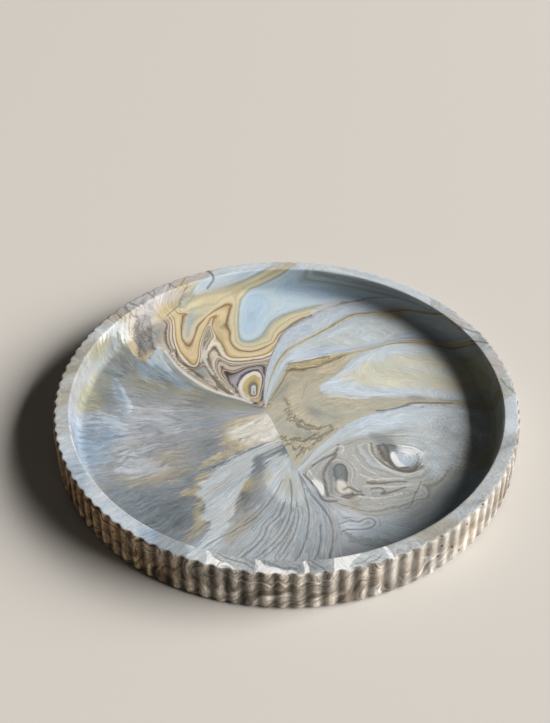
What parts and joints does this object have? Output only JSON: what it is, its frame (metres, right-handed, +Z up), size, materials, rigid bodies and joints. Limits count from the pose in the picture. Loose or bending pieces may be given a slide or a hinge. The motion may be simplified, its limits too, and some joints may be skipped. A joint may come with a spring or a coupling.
{
  "type": "candle tray",
  "caption": "Round shallow candle tray cast in marbled grey, blue and ochre stone mix, with a finely fluted outer wall, flat rim, recessed flat floor and thin anti-slip pads.",
  "frame": {"origin": "on the surface that the tray stands on, under the centre of the tray", "axes": "+Z up through the centre of the dish, -Y towards the viewer of the picture, +X to their right"},
  "size_m": [0.201, 0.201, 0.0194],
  "materials": {
    "marbled_cast": "pigmented mineral casting compound, marbled in grey, blue, ochre and cream, satin sealed",
    "pad_rubber": "matte self-adhesive rubber"
  },
  "bodies": {
    "root": {"tray_body": "marbled_cast", "anti_slip_pad_1": "pad_rubber", "anti_slip_pad_2": "pad_rubber", "anti_slip_pad_3": "pad_rubber", "anti_slip_pad_4": "pad_rubber"}
  },
  "joints": []
}
